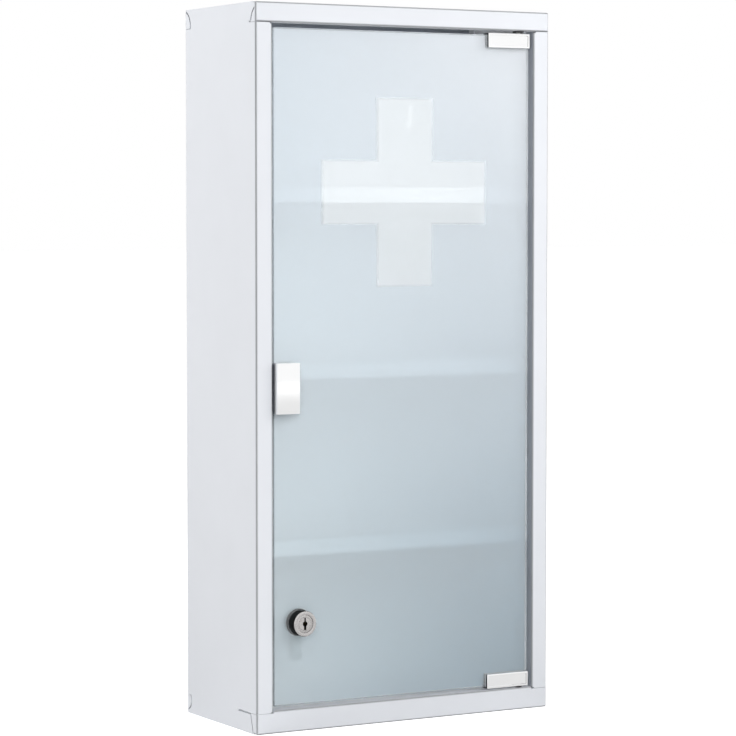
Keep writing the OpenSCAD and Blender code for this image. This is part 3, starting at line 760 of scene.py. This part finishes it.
class CABINET_OT_lock(bpy.types.Operator):
    """Turns the cam lock: collar, washers, nut, plug, wafers, cam and screw"""

    bl_idname = "cabinet.lock"
    bl_label = "Cam lock"

    def execute(self, context):
        low, high = node_box("lock_housing")
        plug_low, plug_high = node_box("lock_plug")
        centre = Vector(((low.x + high.x) / 2, 0, (low.z + high.z) / 2))
        face_r = (plug_high.x - plug_low.x) / 2
        self.collar(centre, low, high, face_r)
        for node in ("lock_front_washer", "lock_rear_washer"):
            dress_node(node, "rubber")
        dress_node("lock_nut", "zinc", 0.2 * MM)
        self.plug(centre, plug_low, plug_high, face_r)
        dress_node("lock_wafers", "brass")
        dress_node("lock_cam", "zinc", 0.25 * MM)
        dress_node("lock_cam_screw", "zinc")
        return {"FINISHED"}

    def collar(self, centre, low, high, face_r):
        """The bright ring round the turning face, with sides in painted shade, on its threaded barrel."""
        radius = (high.x - low.x) / 2
        inner_r = face_r + 0.05 * MM
        seat = node_box("door_glass")[0].y - 0.6 * MM
        shape = turned([
            (COLLAR_BORE, low.y + COLLAR_STEP), (inner_r, low.y + COLLAR_STEP), (inner_r, low.y + 0.5 * MM),
            (face_r + 0.3 * MM, low.y + 0.12 * MM), (face_r + 0.6 * MM, low.y), (radius - 1.5 * MM, low.y),
            (radius - 0.9 * MM, low.y + 0.1 * MM), (radius - 0.3 * MM, low.y + 0.5 * MM),
            (radius, low.y + 1.2 * MM), (radius, seat - 0.4 * MM), (radius - 0.3 * MM, seat),
            (COLLAR_BARREL, seat), (COLLAR_BARREL, high.y - 0.4 * MM),
            (COLLAR_BARREL - 0.4 * MM, high.y), (COLLAR_BORE, high.y)], centre, steps=96)
        # The collar's sides take the keyway's painted shade.
        for face in shape.faces:
            face.material_index = 1 if face.calc_center_median().y > low.y + 0.8 * MM else 0
        piece(shape, "lock_collar", ["nickel", "keyway_metal"], "door", ["lock_housing"])

    def plug(self, centre, low, high, face_r):
        """The turning face with a ring groove and the key slot, on its barrel and tail; the slot's walls get
        painted shade.
        """
        groove = sizes().rim_groove
        head, shoulder = low.y + PLUG_HEAD, high.y - TAIL_LENGTH
        inner_r = face_r - 1.9 * MM
        shape = turned([
            (0, low.y), (inner_r, low.y), (inner_r + groove / 2, low.y + groove),
            (inner_r + groove, low.y), (face_r - 0.5 * MM, low.y),
            (face_r - 0.12 * MM, low.y + 0.15 * MM), (face_r, low.y + 0.5 * MM),
            (face_r, head), (PLUG_BARREL, head), (PLUG_BARREL, shoulder), (TAIL_RADIUS, shoulder),
            (TAIL_RADIUS, high.y), (0, high.y)], centre, steps=96)
        plug = piece(shape, "lock_face", ["nickel", "keyway_metal"], "lock_core", ["lock_plug"])
        outline = self.key_outline(middle_r=2.3 * MM, upper=0.7 * MM, lower=1.15 * MM, half=5.4 * MM)
        slot = prism([centre + Vector((x, low.y - MM, z)) for x, z in outline], (0, 1, 0), 18 * MM)
        cut(plug, slot)
        # The slot's walls take painted shade.
        for polygon in plug.data.polygons:
            away = polygon.center - centre
            inside = math.hypot(away.x, away.z) < 5.5 * MM and polygon.center.y > low.y + 0.05 * MM
            if inside and polygon.center.y < shoulder - 0.1 * MM:
                polygon.material_index = 1

    def key_outline(self, middle_r, upper, lower, half):
        """Outline of the key slot: a round middle, a narrow upper and a wider lower slot."""
        start = math.atan2(math.sqrt(middle_r ** 2 - upper ** 2), upper)
        end = -math.atan2(math.sqrt(middle_r ** 2 - lower ** 2), lower)
        steps = 12
        turns = [start + (end - start) * i / steps for i in range(steps + 1)]
        right = [(upper, half)]
        right += [(middle_r * math.cos(turn), middle_r * math.sin(turn)) for turn in turns]
        right += [(lower, -half)]
        return right + [(-x, z) for x, z in reversed(right)]


class CABINET_OT_stage(bpy.types.Operator):
    """Sets the floor, the light and the camera"""

    bl_idname = "cabinet.stage"
    bl_label = "Studio"

    def execute(self, context):
        studio = context.scene.cabinet_studio
        low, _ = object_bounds()
        self.floor(low[2], studio)
        self.daylight(context.scene, studio)
        self.lamp("key_lamp", studio.key_power, place=(0.9, -1.0, 0.65), target=(0, -0.1, 0), size=1.3)
        self.lamp("fill_lamp", studio.fill_power, place=(-0.95, -2.0, 0.7), target=(0, -0.1, 0.05), size=1.1)
        self.lamp("side_lamp", studio.side_power, place=(-1.35, 0.9, 1.6), target=(-0.15, 0, 0.3), size=1.1)
        self.camera(context.scene, studio)
        context.scene.view_settings.view_transform = "Standard"
        return {"FINISHED"}

    def floor(self, level, studio):
        bm = bmesh.new()
        bmesh.ops.create_grid(bm, x_segments=1, y_segments=1, size=30)
        bmesh.ops.translate(bm, vec=(0, 0, level - 0.02 * MM), verts=bm.verts)
        mesh = bpy.data.meshes.new("floor")
        bm.to_mesh(mesh)
        bm.free()
        floor = bpy.data.objects.new("floor", mesh)
        bpy.context.scene.collection.objects.link(floor)
        finish = Finish("floor", studio.floor, 0.9)
        finish.mottle(0.5, 0.004)
        mesh.materials.append(finish.material)
        floor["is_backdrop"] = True
        self.white_to_the_eye(finish)

    def white_to_the_eye(self, finish):
        """Rays from the camera see plain white less the shadow; gloss sees an even sheet, with painted shade that
        dims it close by.
        """
        rays = finish.add("ShaderNodeLightPath").outputs
        seen = finish.math("MAXIMUM", rays["Is Camera Ray"], rays["Is Transmission Ray"])
        away = finish.add("ShaderNodeVectorMath", operation="LENGTH")
        finish.link(finish.place, away.inputs["Vector"])
        # The sheet is dimmer close to the cabinet: painted shade in reflections of the floor.
        gloss_sheet_shaded_near = finish.mapped(away.outputs["Value"], 0.6, 4.2, 0.7, 1.0, interpolation_type="SMOOTHERSTEP")
        gloss = finish.math("MULTIPLY", rays["Is Glossy Ray"], gloss_sheet_shaded_near)
        finish.set("Emission Color", WHITE)
        finish.set("Emission Strength", finish.math("MAXIMUM", finish.math("MULTIPLY", seen, 0.85), gloss))
        finish.darkened(rays["Is Glossy Ray"], (0.06, 0.06, 0.06, 1))

    def daylight(self, scene, studio):
        """Even light from all round, behind which the camera, gloss and glass see plain white."""
        world = bpy.data.worlds.new("studio")
        scene.world = world
        world.use_nodes = True
        nodes = Nodes(world.node_tree)
        rays = nodes.add("ShaderNodeLightPath").outputs
        direct = nodes.math("MAXIMUM", rays["Is Camera Ray"], rays["Is Glossy Ray"])
        seen = nodes.math("MAXIMUM", direct, rays["Is Transmission Ray"])
        sky = world.node_tree.nodes["Background"]
        sky.inputs["Color"].default_value = WHITE
        nodes.feed(sky.inputs["Strength"], nodes.mapped(seen, 0, 1, studio.daylight, 1))

    def lamp(self, name, watts, place, target, size):
        light = bpy.data.lights.new(name, "AREA")
        light.energy = watts
        light.size = size
        lamp = bpy.data.objects.new(name, light)
        lamp.location = place
        lamp.visible_glossy = False
        lamp.visible_transmission = False
        lamp.rotation_euler = (Vector(target) - Vector(place)).to_track_quat("-Z", "Y").to_euler()
        bpy.context.scene.collection.objects.link(lamp)

    def camera(self, scene, studio):
        data = bpy.data.cameras.new("camera")
        data.lens = studio.lens
        data.sensor_width = 36
        camera = bpy.data.objects.new("camera", data)
        camera.location = studio.camera_place
        camera.rotation_euler = (math.radians(90) - studio.camera_tilt, 0, -studio.camera_turn)
        scene.collection.objects.link(camera)
        scene.camera = camera


class CABINET_PT_parts(bpy.types.Panel):
    """Lists the pieces of the cabinet in the sidebar"""

    bl_label = "Medicine cabinet"
    bl_idname = "CABINET_PT_parts"
    bl_space_type = "VIEW_3D"
    bl_region_type = "UI"
    bl_category = "Cabinet"

    def draw(self, context):
        for operator in OPERATORS:
            self.layout.operator(operator.bl_idname)
        for group in ("cabinet_sizes", "cabinet_colours", "cabinet_studio"):
            settings = getattr(context.scene, group)
            box = self.layout.box()
            for key in type(settings).__annotations__:
                box.prop(settings, key)


OPERATORS = (CABINET_OT_case, CABINET_OT_shelves, CABINET_OT_catch, CABINET_OT_glass, CABINET_OT_frosting,
             CABINET_OT_handle, CABINET_OT_hinges, CABINET_OT_lock, CABINET_OT_stage)
GROUPS = {"cabinet_sizes": CabinetSizes, "cabinet_colours": CabinetColours, "cabinet_studio": StudioSettings}


def register():
    for name, group in GROUPS.items():
        bpy.utils.register_class(group)
        setattr(bpy.types.Scene, name, PointerProperty(type=group))
    for cls in (*OPERATORS, CABINET_PT_parts):
        bpy.utils.register_class(cls)


def unregister():
    for cls in (CABINET_PT_parts, *reversed(OPERATORS)):
        bpy.utils.unregister_class(cls)
    for name, group in GROUPS.items():
        delattr(bpy.types.Scene, name)
        bpy.utils.unregister_class(group)


def main():
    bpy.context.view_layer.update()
    register()
    for operator in OPERATORS:
        group, name = operator.bl_idname.split(".")
        getattr(getattr(bpy.ops, group), name)()


if __name__ == "__main__":
    main()
